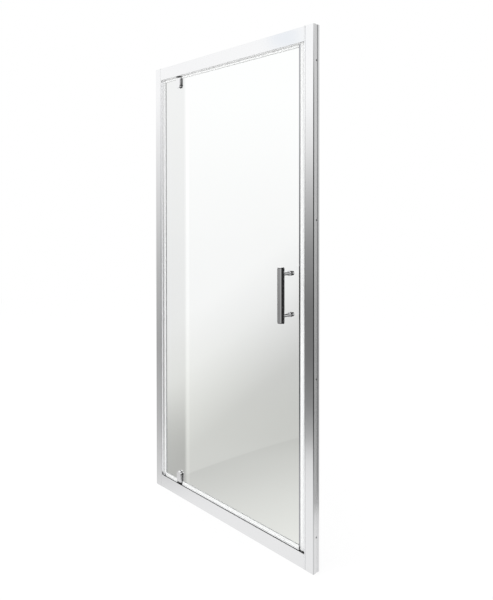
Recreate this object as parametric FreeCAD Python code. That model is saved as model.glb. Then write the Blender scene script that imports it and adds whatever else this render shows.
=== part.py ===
import FreeCAD, Part
import os

# A framed pivot shower door for a recess, in millimetres.
# X runs along the door with the closing edge at +X, the outside of the shower is at -Y, Z is up.
# The origin is under the middle of the bottom rail, at the level of the shower tray.

Vector = FreeCAD.Vector
ORIGIN = Vector(0, 0, 0)
ALONG_X = Vector(1, 0, 0)
ALONG_Y = Vector(0, 1, 0)
ALONG_Z = Vector(0, 0, 1)

# ---- frame ----
frame_width = 900.0
frame_height = 1850.0
frame_depth = 33.0
sight_width = 41.0
rail_height = 52.0
rail_wall = 1.8
rail_gasket = 0.8
rail_gasket_inset = 0.6
head_gutter_width = 1.2
sill_gutter_width = 4.6
gutter_depth = 4.0
gutter_setback = 1.2
gutter_wall = 1.2
edge_radius = 1.0

# ---- wall channels ----
channel_reach = 35.5
channel_leg = 1.6
channel_base = 2.4
channel_chamfer_in = 2.2
channel_chamfer_along = 2.8
channel_recess_width = 9.0
channel_recess_depth = 1.2
wall_hole_diameter = 5.5
wall_hole_inset = 120.0
wall_hole_count = 4

# ---- jambs and their caps ----
nose_gap = 1.2
slide_clearance = 0.2
jamb_insert = 26.0
jamb_wall = 1.8
cap_thickness = 1.5
cap_plug_length = 8.0
cap_plug_width = 15.0
cap_plug_clearance = 0.3

# ---- screws that join the rails to the jambs ----
port_diameter = 8.0
port_bore = 3.3
port_bite = 0.8
rail_screw_diameter = 3.2
rail_screw_length = 20.0
rail_screw_head = 6.5
rail_screw_head_height = 2.2
access_hole_diameter = 9.0

# ---- screws that lock the jambs in the channels ----
adjuster_diameter = 3.5
adjuster_head = 7.0
adjuster_head_height = 2.0
adjuster_length = 9.0
adjuster_inset = 200.0
adjuster_count = 3
cover_diameter = 11.0
cover_height = 4.2
cover_wall = 1.0

# ---- fits ----
screw_clearance = 0.05
bearing_clearance = 0.05
face_clearance = 0.1
running_gap = 0.3
magnet_gap = 0.3

# ---- seals ----
strike_depth = 12.5
strike_foot_width = 6.0
strike_foot_clearance = 0.1
strike_barb_width = 8.0
strike_barb_thickness = 1.6
stop_lip_thickness = 1.6
stop_lip_reach = 8.0
stop_lip_gap = 0.4
closing_seal_depth = 13.9
closing_seal_width = 10.0
closing_neck = 4.7
seal_wall = 0.8
magnet_clearance = 0.1
hinge_running_gap = 0.4
hinge_stop_reach = 5.0
hinge_stop_thickness = 3.2
hinge_stop_gap = 0.5
hinge_seal_depth = 9.3
bulb_wall = 1.1
clip_web = 1.3
clip_lip = 1.3
clip_overlap = 5.5
top_seal_depth = 3.7
top_seal_web = 1.2
top_seal_overlap = 6.0
top_seal_lip = 1.1
top_fin = 1.2
bottom_seal_depth = 5.2
bottom_seal_web = 1.4
bottom_seal_overlap = 6.5
bottom_seal_lip = 1.3
drip_fin = 1.1
drip_fin_splay = 1.6
seal_end_gap = 0.5

# ---- glass ----
glass_thickness = 6.0
glass_corner = 2.0
glass_arris = 0.5

# ---- pivots ----
pivot_inset = 115.0
pin_diameter = 8.0
pin_grip = 18.0
pin_reach = 13.0
block_flange_length = 24.0
block_flange_width = 28.0
block_flange_thickness = 2.0
block_flange_corner = 5.0
block_length = 22.0
block_width = 14.6
block_depth = 18.0
block_clearance = 0.1
block_screw_diameter = 2.9
block_screw_head = 5.2
block_screw_length = 9.0
block_screw_offset = 10.6
washer_diameter = 14.0

# ---- glass clamps ----
clamp_gap = 6.5
clamp_width = 27.0
clamp_height = 44.5
clamp_front_plate = 8.5
clamp_rear_plate = 6.0
clamp_edge_radius = 1.5
gasket_thickness = 1.0
gasket_margin = 1.0
lug_width = 14.0
lug_height = 37.5
lug_sink = 2.9
lug_clearance = 0.1
notch_clearance = 1.0
notch_corner = 4.0
clamp_screw_diameter = 4.0
clamp_screw_head = 7.6
clamp_screw_length = 14.0
clamp_screw_drop = 22.5
clamp_screw_pitch = 10.0
grub_diameter = 4.0
grub_drop = 5.0

# ---- handle ----
handle_inset = 48.0
handle_height = 933.0
handle_length = 195.0
handle_stand = 47.0
bar_diameter = 25.0
bar_wall = 1.5
end_cap_thickness = 2.2
end_cap_groove = 1.3
end_cap_plug = 8.0
end_cap_radius = 1.0
post_inset = 25.0
post_diameter = 12.0
spigot_diameter = 8.0
spigot_length = 3.0
collar_diameter = 19.0
collar_thickness = 6.0
collar_chamfer = 1.2
pad_diameter = 17.0
pad_thickness = 1.0
sleeve_diameter = 12.0
sleeve_clearance = 0.1
stud_diameter = 6.0
stud_in_post = 16.0
stud_in_cap = 7.5
back_cap_diameter = 17.5
back_cap_length = 11.5
back_cap_radius = 3.0

# ---- places worked out from the sizes above ----
wall_x = frame_width / 2
face_y = frame_depth / 2
doorway_x = wall_x - sight_width
channel_tip_x = wall_x - channel_reach
nose_back_x = channel_tip_x - nose_gap
jamb_back_x = nose_back_x + jamb_insert
jamb_body_y = face_y - channel_leg - slide_clearance
jamb_top_z = frame_height - cap_thickness
head_z = frame_height - rail_height
sill_z = rail_height
middle_z = frame_height / 2
rail_x = doorway_x - rail_gasket
port_offset = rail_wall + port_diameter / 2 - port_bite
port_y = jamb_body_y - jamb_wall - rail_screw_head / 2 - running_gap

strike_x = doorway_x - strike_depth
closing_face_x = strike_x - magnet_gap
closing_back_x = closing_face_x - closing_seal_depth
glass_right = closing_back_x - clip_web
hinge_face_x = -doorway_x + hinge_running_gap
hinge_back_x = hinge_face_x + hinge_seal_depth
glass_left = hinge_back_x + clip_web
glass_top = head_z - running_gap - top_seal_depth
glass_bottom = sill_z + running_gap + bottom_seal_depth
glass_y = glass_thickness / 2
clip_y = glass_y + clip_lip

pivot_x = -doorway_x + pivot_inset
clamp_top_z = head_z - clamp_gap
clamp_end_z = clamp_top_z - clamp_height
plate_y = glass_y + gasket_thickness
clamp_front_y = plate_y + clamp_front_plate
clamp_rear_y = plate_y + clamp_rear_plate
lug_y = plate_y + lug_sink
lug_end_z = clamp_top_z - lug_height
flange_corner_x = block_flange_length / 2 - block_flange_corner
flange_corner_y = block_flange_width / 2 - block_flange_corner
flange_reach = (flange_corner_x ** 2 + flange_corner_y ** 2) ** 0.5 + block_flange_corner
seal_stop = max(clamp_width / 2, flange_reach) + seal_end_gap

handle_x = glass_right - handle_inset
post_pitch = handle_length - 2 * post_inset
bar_y = -glass_y - handle_stand
collar_y = glass_y + pad_thickness
post_y = collar_y + collar_thickness


# ---- ways of making solids ----
def block(x0, x1, y0, y1, z0, z1):
    """A box between two corners, given in any order."""
    low = Vector(min(x0, x1), min(y0, y1), min(z0, z1))
    return Part.makeBox(abs(x1 - x0), abs(y1 - y0), abs(z1 - z0), low)


def extrusion(points, z0, z1):
    """An upright bar whose section is a polygon of (x, y) points."""
    corners = [Vector(x, y, z0) for x, y in points]
    return Part.Face(Part.makePolygon(corners + corners[:1])).extrude(Vector(0, 0, z1 - z0))


def level_extrusion(points, x0, x1):
    """A level bar along X whose section is a polygon of (y, z) points."""
    corners = [Vector(x0, y, z) for y, z in points]
    return Part.Face(Part.makePolygon(corners + corners[:1])).extrude(Vector(x1 - x0, 0, 0))


def turned(profile, base, direction):
    """A round solid. The profile lists (distance along the axis, radius) from the base on."""
    rim = [Vector(radius, 0, along) for along, radius in profile]
    foot = Vector(0, 0, profile[0][0])
    tip = Vector(0, 0, profile[-1][0])
    solid = Part.Face(Part.makePolygon([foot] + rim + [tip, foot])).revolve(ORIGIN, ALONG_Z, 360)
    solid.Placement = FreeCAD.Placement(base, FreeCAD.Rotation(ALONG_Z, direction))
    return solid


def rod(diameter, base, direction, length):
    """A plain round bar."""
    return Part.makeCylinder(diameter / 2, length, base, direction)


def ring(outer, inner, base, direction, length):
    """A plain round tube or washer."""
    return rod(outer, base, direction, length).cut(rod(inner, base, direction, length))


def edges_at(shape, **place):
    """The edges that lie wholly at the given coordinates, such as x=450, y=16.5."""
    chosen = []
    for edge in shape.Edges:
        box = edge.BoundBox
        spans = {"x": (box.XMin, box.XMax), "y": (box.YMin, box.YMax), "z": (box.ZMin, box.ZMax)}
        if all(abs(end - value) < 0.01 for key, value in place.items() for end in spans[key]):
            chosen.append(edge)
    return chosen


def across(shape):
    """The same shape on the other side of the doorway."""
    return shape.mirror(ORIGIN, ALONG_X)


def below(shape):
    """The same shape at the other end of the door's height."""
    return shape.mirror(Vector(0, 0, middle_z), ALONG_Z)


def evenly(first, last, count):
    """Evenly spaced places from first to last."""
    return [first + (last - first) * i / (count - 1) for i in range(count)]


def save(name, *solids):
    """Writes one piece, or one group of alike pieces, under its own name."""
    shape = solids[0] if len(solids) == 1 else Part.Compound(list(solids))
    shape.exportStep(os.path.join("parts", name + ".step"))


# ---- screws and the holes they go through ----
def pan_screw(diameter, head, head_height, length, seat, direction):
    """A pan head screw whose head sits on the seat and whose shank goes along the direction."""
    crown = head_height * 0.6
    back = seat - direction * head_height
    profile = [(0, head * 0.35), (head_height - crown, head / 2), (head_height, head / 2),
               (head_height, diameter / 2), (head_height + length - 1, diameter / 2),
               (head_height + length, diameter / 4)]
    return turned(profile, back, direction)


def flat_screw(diameter, head, length, seat, direction, gap=0.0):
    """A countersunk screw with its head flush at the seat, or its hole where a gap is given."""
    cone = (head - diameter) / 2
    profile = [(0, head / 2 + gap), (cone, diameter / 2 + gap), (length, diameter / 2 + gap)]
    return turned(profile, seat, direction)


# ---- fixed frame ----
wall_hole_zs = evenly(wall_hole_inset, frame_height - wall_hole_inset, wall_hole_count)
adjuster_zs = evenly(adjuster_inset, frame_height - adjuster_inset, adjuster_count)
adjuster_x = (nose_back_x + jamb_back_x) / 2


def adjuster_hole(z):
    """The hole for one adjuster screw, through the channel's rear leg and the jamb's rear wall."""
    base = Vector(adjuster_x, face_y + 1, z)
    return rod(adjuster_diameter + 2 * screw_clearance, base, -ALONG_Y, adjuster_length + 2)


def wall_channel():
    """The U-shaped extrusion that is screwed to the wall on the closing side."""
    corner_x = wall_x - channel_chamfer_in
    corner_y = face_y - channel_chamfer_along
    section = [(channel_tip_x, -face_y), (corner_x, -face_y), (wall_x, -corner_y), (wall_x, corner_y),
               (corner_x, face_y), (channel_tip_x, face_y)]
    body = extrusion(section, 0, frame_height)
    body = body.makeFillet(channel_leg / 3, edges_at(body, x=channel_tip_x, y=-face_y)
                           + edges_at(body, x=channel_tip_x, y=face_y))
    inner_y = face_y - channel_leg
    body = body.cut(block(channel_tip_x - 1, wall_x - channel_base, -inner_y, inner_y, -1, frame_height + 1))
    recess_y = channel_recess_width / 2
    body = body.cut(block(wall_x - channel_recess_depth, wall_x + 1, -recess_y, recess_y,
                          -1, frame_height + 1))
    for z in wall_hole_zs:
        body = body.cut(rod(wall_hole_diameter, Vector(wall_x - channel_base - 1, 0, z), ALONG_X,
                            channel_base + 2))
    for z in adjuster_zs:
        body = body.cut(adjuster_hole(z))
    return body


def rail_screw_places():
    """The (y, z) places of the screws at one jamb."""
    heights = (port_offset, frame_height - port_offset)
    return [(y, z) for y in (-port_y, port_y) for z in heights]


def jamb_outline(z0, z1):
    """The outer shape of a jamb: a narrow nose at the doorway and a body that fits in the channel."""
    section = [(doorway_x, -face_y), (nose_back_x, -face_y), (nose_back_x, -jamb_body_y),
               (jamb_back_x, -jamb_body_y), (jamb_back_x, jamb_body_y), (nose_back_x, jamb_body_y),
               (nose_back_x, face_y), (doorway_x, face_y)]
    body = extrusion(section, z0, z1)
    return body.makeFillet(edge_radius, edges_at(body, x=doorway_x, y=-face_y)
                           + edges_at(body, x=doorway_x, y=face_y))


def jamb():
    """The hollow post that slides in the wall channel on the closing side."""
    body = jamb_outline(0, jamb_top_z)
    hollow_y = jamb_body_y - jamb_wall
    body = body.cut(block(doorway_x + jamb_wall, jamb_back_x - jamb_wall, -hollow_y, hollow_y,
                          -1, frame_height))
    screw_hole = rail_screw_diameter + 4 * screw_clearance
    for y, z in rail_screw_places():
        body = body.cut(rod(screw_hole, Vector(doorway_x - 1, y, z), ALONG_X, jamb_wall + 2))
        access = Vector(jamb_back_x - jamb_wall - 1, y, z)
        body = body.cut(rod(access_hole_diameter, access, ALONG_X, jamb_wall + 2))
    for z in adjuster_zs:
        body = body.cut(adjuster_hole(z))
    return body


def jamb_cap():
    """The cap that closes the top of a jamb, with a plug that grips inside the post."""
    plate = jamb_outline(jamb_top_z, frame_height)
    plug_x = jamb_back_x - jamb_wall - cap_plug_clearance
    plug_y = jamb_body_y - jamb_wall - cap_plug_clearance
    plug = block(plug_x - cap_plug_width, plug_x, -plug_y, plug_y, jamb_top_z - cap_plug_length, jamb_top_z)
    return plate.fuse(plug)


def rail(gutter_width):
    """The head rail, with two gutters under it, two screw ports and a seat for the pivot block."""
    body = block(-rail_x, rail_x, -face_y, face_y, head_z, frame_height)
    body = body.makeFillet(edge_radius, [edge for y in (-face_y, face_y) for z in (head_z, frame_height)
                                         for edge in edges_at(body, y=y, z=z)])
    hollow_y = face_y - rail_wall
    body = body.cut(block(-rail_x - 1, rail_x + 1, -hollow_y, hollow_y,
                          head_z + rail_wall, frame_height - rail_wall))
    gutter_y = face_y - gutter_setback
    gutter_inner_y = gutter_y - gutter_width
    for side in (-1, 1):
        body = body.fuse(block(-rail_x, rail_x, side * gutter_y, side * (gutter_inner_y - gutter_wall),
                               head_z + edge_radius, head_z + gutter_depth + gutter_wall))
        body = body.cut(block(-rail_x - 1, rail_x + 1, side * gutter_y, side * gutter_inner_y,
                              head_z - 1, head_z + gutter_depth))
    ports = [Vector(-rail_x, y, frame_height - port_offset) for y in (-port_y, port_y)]
    for base in ports:
        body = body.fuse(rod(port_diameter, base, ALONG_X, 2 * rail_x))
    for base in ports:
        body = body.cut(rod(port_bore, base, ALONG_X, 2 * rail_x))
    seat_x = block_length / 2 + block_clearance
    seat_y = block_width / 2 + block_clearance
    body = body.cut(block(pivot_x - seat_x, pivot_x + seat_x, -seat_y, seat_y,
                          head_z - 1, head_z + rail_wall + 1))
    for y in (-block_screw_offset, block_screw_offset):
        screw_hole = rod(block_screw_diameter + 2 * screw_clearance, Vector(pivot_x, y, head_z - 1), ALONG_Z,
                         block_screw_length + 1)
        body = body.cut(screw_hole)
    return body.removeSplitter()


def rail_gaskets():
    """The foam pads between the head rail's ends and the jambs."""
    y = face_y - rail_gasket_inset
    pads = []
    for side in (-1, 1):
        pad = block(side * rail_x, side * doorway_x, -y, y, head_z + rail_gasket_inset,
                    frame_height - rail_gasket_inset)
        for port in (-port_y, port_y):
            pad = pad.cut(rod(port_bore + 1, Vector(-wall_x, port, frame_height - port_offset), ALONG_X,
                              frame_width))
        pads.append(pad)
    return pads


def rail_screws():
    """The screws inside one jamb that pull the rails against it."""
    return [pan_screw(rail_screw_diameter, rail_screw_head, rail_screw_head_height, rail_screw_length,
                      Vector(doorway_x + jamb_wall, y, z), -ALONG_X) for y, z in rail_screw_places()]


def adjuster_screws():
    """The screws that lock one jamb in its channel."""
    return [pan_screw(adjuster_diameter, adjuster_head, adjuster_head_height, adjuster_length,
                      Vector(adjuster_x, face_y, z), -ALONG_Y) for z in adjuster_zs]


def adjuster_covers():
    """The snap-on covers over the adjuster screws."""
    covers = []
    for z in adjuster_zs:
        seat = Vector(adjuster_x, face_y, z)
        shell = rod(cover_diameter, seat, ALONG_Y, cover_height)
        shell = shell.makeFillet(cover_wall, edges_at(shell, y=face_y + cover_height))
        room = rod(cover_diameter - 2 * cover_wall, seat, ALONG_Y, cover_height - cover_wall)
        covers.append(shell.cut(room))
    return covers


def strike_seal():
    """The white strip snapped into the closing jamb, with a pocket for its magnet and a rear stop lip."""
    half = closing_seal_width / 2
    foot_y = strike_foot_width / 2
    barb_y = strike_barb_width / 2
    barb_x = doorway_x + jamb_wall + strike_foot_clearance
    lip_y = half + stop_lip_gap
    section = [(strike_x, -half), (doorway_x, -half), (doorway_x, -foot_y), (barb_x, -foot_y),
               (barb_x, -barb_y), (barb_x + strike_barb_thickness, -foot_y),
               (barb_x + strike_barb_thickness, foot_y), (barb_x, barb_y), (barb_x, foot_y),
               (doorway_x, foot_y), (doorway_x, lip_y + stop_lip_thickness),
               (strike_x - stop_lip_reach, lip_y + stop_lip_thickness), (strike_x - stop_lip_reach, lip_y),
               (strike_x + seal_wall, lip_y), (strike_x + seal_wall, half), (strike_x, half)]
    strip = extrusion(section, sill_z + running_gap, head_z - running_gap)
    return strip.cut(magnet_pocket(strike_x + seal_wall, magnet_clearance))


def hinge_stop():
    """The dark fin strip on the hinge jamb, just outside the hinge seal."""
    near_y = -clip_y - hinge_stop_gap
    far_y = near_y - hinge_stop_thickness
    half = hinge_stop_thickness / 2
    foot_x = -doorway_x + half
    tip_x = -doorway_x + hinge_stop_reach
    section = [(-doorway_x, near_y), (foot_x, near_y), (tip_x, near_y - half / 2), (tip_x, near_y - half),
               (foot_x, far_y), (-doorway_x, far_y)]
    return extrusion(section, sill_z + running_gap, head_z - running_gap)


def magnet_pocket(x0, spare):
    """The bar of space for a magnet behind the face of a seal, or the magnet itself with no spare room."""
    width = closing_seal_width / 2 - seal_wall - magnet_clearance + spare
    depth = closing_seal_depth - closing_neck - 2 * seal_wall - 2 * magnet_clearance
    return block(x0 + magnet_clearance - spare, x0 + magnet_clearance + depth + spare, -width, width,
                 sill_z + running_gap, head_z - running_gap)


# ---- pivots ----
def pivot_block():
    """The nylon bearing let into the head rail, with a blind bore for the pin."""
    flange = block(pivot_x - block_flange_length / 2, pivot_x + block_flange_length / 2,
                   -block_flange_width / 2, block_flange_width / 2, head_z - block_flange_thickness, head_z)
    upright = [edge for edge in flange.Edges if edge.BoundBox.ZLength > block_flange_thickness / 2]
    flange = flange.makeFillet(block_flange_corner, upright)
    body = block(pivot_x - block_length / 2, pivot_x + block_length / 2, -block_width / 2, block_width / 2,
                 head_z, head_z + block_depth)
    mouth = Vector(pivot_x, 0, head_z - block_flange_thickness)
    bore = rod(pin_diameter + 2 * bearing_clearance, mouth, ALONG_Z, block_flange_thickness + pin_reach + 1)
    whole = flange.fuse(body).cut(bore)
    for hole in pivot_block_screws(screw_clearance):
        whole = whole.cut(hole)
    return whole.removeSplitter()


def pivot_block_screws(gap=0.0):
    """The two countersunk screws of the head rail's block, or their holes where a gap is given."""
    seat_z = head_z - block_flange_thickness
    seats = [Vector(pivot_x, y, seat_z) for y in (-block_screw_offset, block_screw_offset)]
    return [flat_screw(block_screw_diameter, block_screw_head, block_screw_length, seat, ALONG_Z, gap)
            for seat in seats]


def pivot_pin():
    """The steel pin held in the top clamp, which turns in the head rail's block."""
    length = pin_grip + clamp_gap + pin_reach
    radius = pin_diameter / 2
    profile = [(0, radius), (length - 1, radius), (length, radius - 1)]
    return turned(profile, Vector(pivot_x, 0, clamp_top_z - pin_grip), ALONG_Z)


def thrust_washer():
    """The washer on the bottom block that carries the weight of the leaf."""
    base_z = sill_z + block_flange_thickness
    height = clamp_gap - block_flange_thickness - face_clearance
    bore = pin_diameter + 2 * bearing_clearance
    return ring(washer_diameter, bore, Vector(pivot_x, 0, base_z), ALONG_Z, height)


# ---- glass clamps ----
def clamp_outline(y0, y1, margin=0.0):
    """A slab with the outline of the top clamp: square at the rail and round towards the glass."""
    radius = clamp_width / 2 - margin
    centre_z = clamp_end_z + clamp_width / 2
    slab = block(pivot_x - radius, pivot_x + radius, y0, y1, centre_z, clamp_top_z - margin)
    disc = rod(2 * radius, Vector(pivot_x, min(y0, y1), centre_z), ALONG_Y, abs(y1 - y0))
    return slab.fuse(disc).removeSplitter()


def lug(spare=0.0):
    """The lug of the front plate that fills the notch in the glass and holds the pin."""
    half = lug_width / 2 + spare
    low_z = lug_end_z - spare
    body = block(pivot_x - half, pivot_x + half, -plate_y, lug_y + spare, low_z, clamp_top_z)
    corners = edges_at(body, x=pivot_x - half, z=low_z) + edges_at(body, x=pivot_x + half, z=low_z)
    return body.makeFillet(notch_corner - notch_clearance + spare, corners)


def clamp_screws(gap=0.0):
    """The two countersunk screws below the pin, from the rear plate, or their holes where a gap is given."""
    drops = (clamp_screw_drop, clamp_screw_drop + clamp_screw_pitch)
    seats = [Vector(pivot_x, clamp_rear_y, clamp_top_z - drop) for drop in drops]
    return [flat_screw(clamp_screw_diameter, clamp_screw_head, clamp_screw_length, seat, -ALONG_Y, gap)
            for seat in seats]


def grub_screw(gap=0.0):
    """The grub screw that locks the pin in its lug, or its hole where a gap is given."""
    tip_y = pin_diameter / 2
    base = Vector(pivot_x, tip_y, clamp_top_z - grub_drop)
    return rod(grub_diameter + 2 * gap, base, ALONG_Y, clamp_rear_y - tip_y - face_clearance + gap)


def with_clamp_holes(shape):
    """The shape with the holes for the clamp's screws, its grub screw and its pin."""
    for hole in clamp_screws(screw_clearance):
        shape = shape.cut(hole)
    pin_hole = rod(pin_diameter, Vector(pivot_x, 0, clamp_top_z - pin_grip), ALONG_Z, pin_grip + 1)
    grub_hole = grub_screw(screw_clearance).fuse(grub_screw(screw_clearance).translated(Vector(0, 1, 0)))
    return shape.cut(pin_hole).cut(grub_hole)


def clamp_front():
    """The outer plate with its lug."""
    plate = clamp_outline(-plate_y, -clamp_front_y)
    plate = plate.makeFillet(clamp_edge_radius, edges_at(plate, y=-clamp_front_y))
    return with_clamp_holes(plate.fuse(lug()).removeSplitter())


def clamp_rear():
    """The inner plate, with a pocket for the lug."""
    plate = clamp_outline(plate_y, clamp_rear_y)
    plate = plate.makeFillet(clamp_edge_radius, edges_at(plate, y=clamp_rear_y))
    return with_clamp_holes(plate.cut(lug(lug_clearance)))


def clamp_gaskets():
    """The thin pads between the clamp plates and the glass."""
    pads = []
    for side in (-1, 1):
        pad = clamp_outline(side * glass_y, side * plate_y, gasket_margin)
        pads.append(pad.cut(lug(lug_clearance)))
    return pads


# ---- glass and its seals ----
def notch():
    """The notch in the top edge of the glass for the lug of the clamp."""
    half = max(lug_width, washer_diameter) / 2 + notch_clearance
    low_z = lug_end_z - notch_clearance
    slot = block(pivot_x - half, pivot_x + half, -glass_thickness, glass_thickness, low_z, head_z)
    corners = edges_at(slot, x=pivot_x - half, z=low_z) + edges_at(slot, x=pivot_x + half, z=low_z)
    return slot.makeFillet(notch_corner, corners)


def handle_zs():
    """The heights of the two handle fixings."""
    return (handle_height - post_pitch / 2, handle_height + post_pitch / 2)


def glass_pane():
    """The toughened pane, with two notches for the clamps and two holes for the handle."""
    pane = block(glass_left, glass_right, -glass_y, glass_y, glass_bottom, glass_top)
    corners = [edge for x in (glass_left, glass_right) for z in (glass_bottom, glass_top)
               for edge in edges_at(pane, x=x, z=z)]
    pane = pane.makeFillet(glass_corner, corners)
    pane = pane.makeChamfer(glass_arris, edges_at(pane, y=-glass_y) + edges_at(pane, y=glass_y))
    pane = pane.cut(notch()).cut(below(notch()))
    for z in handle_zs():
        start = Vector(handle_x, -glass_thickness, z)
        pane = pane.cut(rod(sleeve_diameter + 2 * sleeve_clearance, start, ALONG_Y, 2 * glass_thickness))
    return pane


def edge_clip(edge_x, outward):
    """The U-shaped clip on an upright edge of the glass. Outward is 1 at closing, -1 at the hinge."""
    web_x = edge_x + outward * clip_web
    lip_x = edge_x - outward * clip_overlap
    clip = block(lip_x, web_x, -clip_y, clip_y, glass_bottom, glass_top)
    return clip.cut(block(lip_x - outward, edge_x, -glass_y, glass_y, glass_bottom - 1, glass_top + 1))


def closing_seal():
    """The white soft strip on the closing edge, with a pocket for its magnet."""
    half = closing_seal_width / 2
    neck_x = closing_back_x + closing_neck
    section = [(closing_back_x, -clip_y), (neck_x, -half), (closing_face_x, -half), (closing_face_x, half),
               (neck_x, half), (closing_back_x, clip_y)]
    strip = extrusion(section, sill_z + running_gap, head_z - running_gap)
    return strip.cut(magnet_pocket(neck_x + seal_wall, magnet_clearance))


def hinge_seal():
    """The hollow bulb on the hinge edge, which closes the gap to the jamb."""
    radius = clip_y
    centre_x = hinge_face_x + radius
    height = glass_top - glass_bottom
    base = Vector(centre_x, 0, glass_bottom)
    bulb = rod(2 * radius, base, ALONG_Z, height)
    bulb = bulb.fuse(block(centre_x, hinge_back_x, -clip_y, clip_y, glass_bottom, glass_top))
    hollow = rod(2 * (radius - bulb_wall), base, ALONG_Z, height)
    return bulb.cut(hollow).removeSplitter()


def top_seal(x0, x1):
    """A clear clip on the top edge of the glass, with a fin that meets the head rail."""
    lip_y = glass_y + top_seal_lip
    web_z = glass_top + top_seal_web
    fin_y = top_fin / 2
    section = [(-lip_y, glass_top - top_seal_overlap), (-glass_y, glass_top - top_seal_overlap),
               (-glass_y, glass_top), (glass_y, glass_top), (glass_y, glass_top - top_seal_overlap),
               (lip_y, glass_top - top_seal_overlap), (lip_y, web_z), (fin_y, web_z),
               (fin_y, head_z - running_gap), (-fin_y, head_z - running_gap), (-fin_y, web_z),
               (-lip_y, web_z)]
    return level_extrusion(section, x0, x1)


def bottom_seal(x0, x1):
    """A drip seal on the bottom edge of the glass, with two splayed fins above the bottom rail."""
    lip_y = glass_y + bottom_seal_lip
    lip_z = glass_bottom + bottom_seal_overlap
    web_z = glass_bottom - bottom_seal_web
    tip_z = sill_z + running_gap
    inner_y = lip_y - drip_fin
    section = [(-lip_y, lip_z), (-glass_y, lip_z), (-glass_y, glass_bottom), (glass_y, glass_bottom),
               (glass_y, lip_z), (lip_y, lip_z), (lip_y, web_z), (lip_y + drip_fin_splay, tip_z),
               (inner_y + drip_fin_splay, tip_z), (inner_y, web_z), (-inner_y, web_z),
               (-inner_y - drip_fin_splay, tip_z), (-lip_y - drip_fin_splay, tip_z), (-lip_y, web_z)]
    return level_extrusion(section, x0, x1)


# ---- handle ----
def handle_bar():
    """The round tube that the hand holds."""
    cap_room = end_cap_thickness + end_cap_groove
    low_z = handle_height - handle_length / 2 + cap_room
    bar = ring(bar_diameter, bar_diameter - 2 * bar_wall, Vector(handle_x, bar_y, low_z), ALONG_Z,
               handle_length - 2 * cap_room)
    for z in handle_zs():
        start = Vector(handle_x, bar_y, z)
        bar = bar.cut(rod(spigot_diameter + 2 * screw_clearance, start, ALONG_Y, bar_diameter))
    return bar


def handle_end_cap(up):
    """The plug that closes one end of the bar and leaves a fine shadow groove."""
    end = Vector(handle_x, bar_y, handle_height + up * handle_length / 2)
    radius = bar_diameter / 2
    plug = radius - bar_wall - screw_clearance
    neck = end_cap_thickness + end_cap_groove
    profile = [(0, radius - end_cap_radius), (end_cap_radius, radius), (end_cap_thickness, radius),
               (end_cap_thickness, plug), (neck + end_cap_plug - 1, plug), (neck + end_cap_plug, plug - 1)]
    return turned(profile, end, ALONG_Z * -up)


def handle_post(z):
    """The stand-off between the bar and the collar on the glass."""
    length = handle_stand + glass_y - post_y
    post = rod(post_diameter, Vector(handle_x, -post_y, z), -ALONG_Y, length)
    post = post.cut(rod(bar_diameter, Vector(handle_x, bar_y, z - bar_diameter), ALONG_Z, 2 * bar_diameter))
    tip_y = bar_y + bar_diameter / 2 - bar_wall - spigot_length
    spigot = rod(spigot_diameter, Vector(handle_x, tip_y, z), ALONG_Y, -post_y - tip_y)
    mouth = Vector(handle_x, -post_y, z)
    tapped = rod(stud_diameter + 2 * screw_clearance, mouth, -ALONG_Y, stud_in_post + 1)
    return post.fuse(spigot).cut(tapped).removeSplitter()


def handle_collar(z):
    """The turned collar on the outer face of the glass."""
    radius = collar_diameter / 2
    profile = [(0, radius), (collar_thickness - collar_chamfer, radius),
               (collar_thickness, radius - collar_chamfer)]
    collar = turned(profile, Vector(handle_x, -collar_y, z), -ALONG_Y)
    return collar.cut(rod(stud_diameter + 2 * screw_clearance, Vector(handle_x, -post_y, z), ALONG_Y,
                          collar_thickness))


def handle_pad(z, side):
    """The soft washer between the glass and a metal piece. Side is -1 outside and 1 inside."""
    base = Vector(handle_x, side * glass_y, z)
    return ring(pad_diameter, stud_diameter + 2 * screw_clearance, base, ALONG_Y * side, pad_thickness)


def handle_sleeve(z):
    """The nylon sleeve that keeps the stud off the glass."""
    base = Vector(handle_x, -glass_y, z)
    return ring(sleeve_diameter, stud_diameter + 2 * screw_clearance, base, ALONG_Y, glass_thickness)


def handle_stud(z):
    """The threaded stud from the post, through the glass, to the back cap."""
    start_y = -post_y - stud_in_post
    return rod(stud_diameter, Vector(handle_x, start_y, z), ALONG_Y, collar_y + stud_in_cap - start_y)


def handle_back_cap(z):
    """The round nut on the inside of the glass."""
    seat = Vector(handle_x, collar_y, z)
    cap = rod(back_cap_diameter, seat, ALONG_Y, back_cap_length)
    cap = cap.makeFillet(back_cap_radius, edges_at(cap, y=collar_y + back_cap_length))
    return cap.cut(rod(stud_diameter + 2 * screw_clearance, seat, ALONG_Y, stud_in_cap + 0.5))


# ---- every piece is written under its own name ----
os.makedirs("parts", exist_ok=True)

save("wall_channel_right", wall_channel())
save("wall_channel_left", across(wall_channel()))

strike_slot = block(doorway_x - 1, doorway_x + jamb_wall + 0.5,
                    -strike_foot_width / 2 - strike_foot_clearance,
                    strike_foot_width / 2 + strike_foot_clearance, -1, frame_height)
save("jamb_right", jamb().cut(strike_slot))
save("jamb_left", across(jamb()))
save("jamb_cap_right", jamb_cap())
save("jamb_cap_left", across(jamb_cap()))

save("head_rail", rail(head_gutter_width))
save("bottom_rail", below(rail(sill_gutter_width)))
save("rail_gaskets", *(rail_gaskets() + [below(pad) for pad in rail_gaskets()]))
save("rail_screws", *(rail_screws() + [across(screw) for screw in rail_screws()]))
save("adjuster_screws", *(adjuster_screws() + [across(screw) for screw in adjuster_screws()]))
save("adjuster_covers", *(adjuster_covers() + [across(cover) for cover in adjuster_covers()]))

save("strike_seal", strike_seal())
save("hinge_stop", hinge_stop())
save("strike_magnet", magnet_pocket(strike_x + seal_wall, 0.0))

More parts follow.
